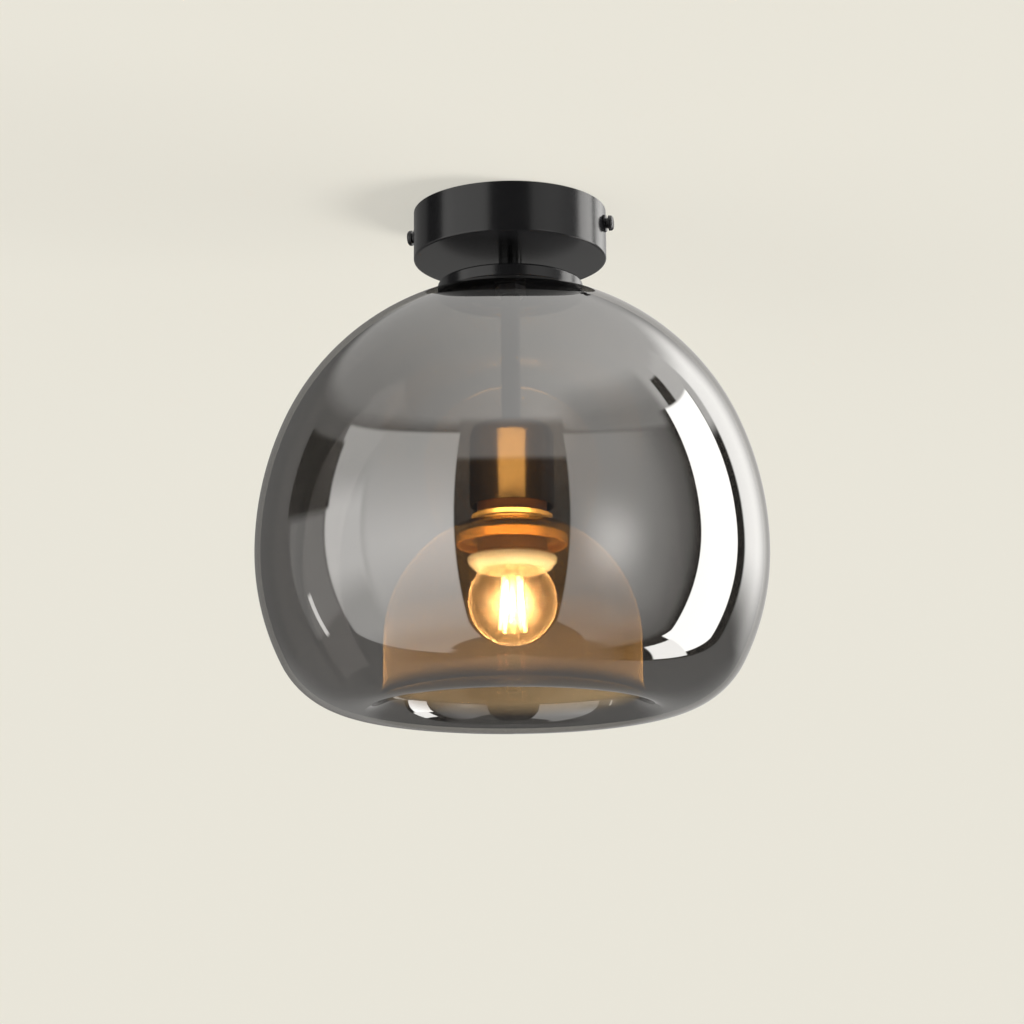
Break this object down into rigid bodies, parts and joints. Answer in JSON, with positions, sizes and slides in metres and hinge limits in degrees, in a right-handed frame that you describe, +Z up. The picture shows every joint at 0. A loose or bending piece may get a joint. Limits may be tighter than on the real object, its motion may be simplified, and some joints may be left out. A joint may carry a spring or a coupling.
{
  "type": "glass globe ceiling light",
  "caption": "Semi-flush ceiling light: black canopy, short stem and a smoked half-mirror glass globe folded in below as a dome over a small round lamp.",
  "frame": {"origin": "on the ceiling plane, midway between the bracket's two ceiling slots", "axes": "+Z up into the ceiling, X along the bracket through both canopy screws"},
  "size_m": [0.26, 0.26, 0.2617],
  "materials": {
    "black_paint": "satin black powder coat",
    "black_screw": "gloss black plating",
    "zinc_steel": "bright zinc plate",
    "plated_ring": "warm plated steel",
    "smoked_glass": "grey smoked glass with a half-mirror coat",
    "clear_glass": "clear thin glass",
    "black_rubber": "matt black",
    "brass": "plain brass",
    "cap_aluminium": "rolled bright aluminium",
    "cream_glaze": "cream glaze",
    "white_ceramic": "unglazed white ceramic",
    "black_phenolic": "moulded black",
    "natural_plastic": "translucent natural plastic",
    "brown_sleeve": "brown insulation",
    "blue_sleeve": "blue insulation",
    "green_sleeve": "green and yellow insulation",
    "filament": "yellow phosphor coat",
    "lead_wire": "nickel wire",
    "circuit_board": "green board"
  },
  "bodies": {
    "fixture": {"canopy": "black_paint", "stem_spacer": "black_paint", "glass_cap": "black_paint", "stem": "black_paint", "lampholder_sleeve": "black_paint", "mounting_bracket": "zinc_steel", "canopy_washer": "zinc_steel", "canopy_locknut": "zinc_steel", "cap_locknut": "zinc_steel", "sleeve_locknut": "zinc_steel", "terminal_block_screw": "zinc_steel", "terminal_clamp_screws": "zinc_steel", "earth_screw": "zinc_steel", "contact_terminal_screws": "zinc_steel", "upper_clamp_ring": "plated_ring", "shade_ring": "plated_ring", "globe_crown": "smoked_glass", "globe_bowl": "smoked_glass", "globe_dome": "smoked_glass", "glass_gasket": "black_rubber", "shade_ring_gasket": "black_rubber", "terminal_barrels": "brass", "earth_tag": "brass", "centre_contact": "brass", "side_contact": "brass", "threaded_shell": "brass", "lampholder_collar": "cream_glaze", "contact_carrier": "white_ceramic", "lampholder_barrel": "black_phenolic", "terminal_block": "natural_plastic", "live_wire": "brown_sleeve", "neutral_wire": "blue_sleeve", "earth_wire": "green_sleeve"},
    "bulb_travel": {"bulb_contact_tip": "brass"},
    "bulb": {"bulb_cap": "cap_aluminium", "bulb_cap_insulator": "black_phenolic", "bulb_driver_board": "circuit_board", "bulb_glass": "clear_glass", "bulb_mount": "clear_glass", "bulb_filaments": "filament", "bulb_lead_wires": "lead_wire", "bulb_filament_support": "lead_wire"},
    "right_screw_travel": {"canopy_screw_washer_right": "black_screw"},
    "right_screw": {"canopy_screw_right": "black_screw"},
    "left_screw_travel": {"canopy_screw_washer_left": "black_screw"},
    "left_screw": {"canopy_screw_left": "black_screw"}
  },
  "joints": [
    {"name": "bulb_travel_slide", "type": "slide", "parent": "fixture", "child": "bulb_travel", "axis": [0, 0, -1], "range_m": [0, 0.0255]},
    {"name": "bulb_turn", "type": "hinge", "parent": "bulb_travel", "child": "bulb", "pos_m": [0, 0, -0.1782], "axis": [0, 0, -1], "range_deg": [0, 2520]},
    {"name": "right_screw_slide", "type": "slide", "parent": "fixture", "child": "right_screw_travel", "axis": [1, 0, 0], "range_m": [0, 0.007]},
    {"name": "right_screw_turn", "type": "hinge", "parent": "right_screw_travel", "child": "right_screw", "pos_m": [0.051, 0, -0.0093], "axis": [1, 0, 0], "range_deg": [0, 3601]},
    {"name": "left_screw_slide", "type": "slide", "parent": "fixture", "child": "left_screw_travel", "axis": [-1, 0, 0], "range_m": [0, 0.007]},
    {"name": "left_screw_turn", "type": "hinge", "parent": "left_screw_travel", "child": "left_screw", "pos_m": [-0.051, 0, -0.0093], "axis": [-1, 0, 0], "range_deg": [0, 3601]}
  ],
  "couplings": [
    {"joint": "bulb_travel_slide", "follows": "bulb_turn", "m_per_rad": 0.00057757},
    {"joint": "right_screw_turn", "follows": "right_screw_slide", "rad_per_m": 8976},
    {"joint": "left_screw_turn", "follows": "left_screw_slide", "rad_per_m": 8976}
  ]
}
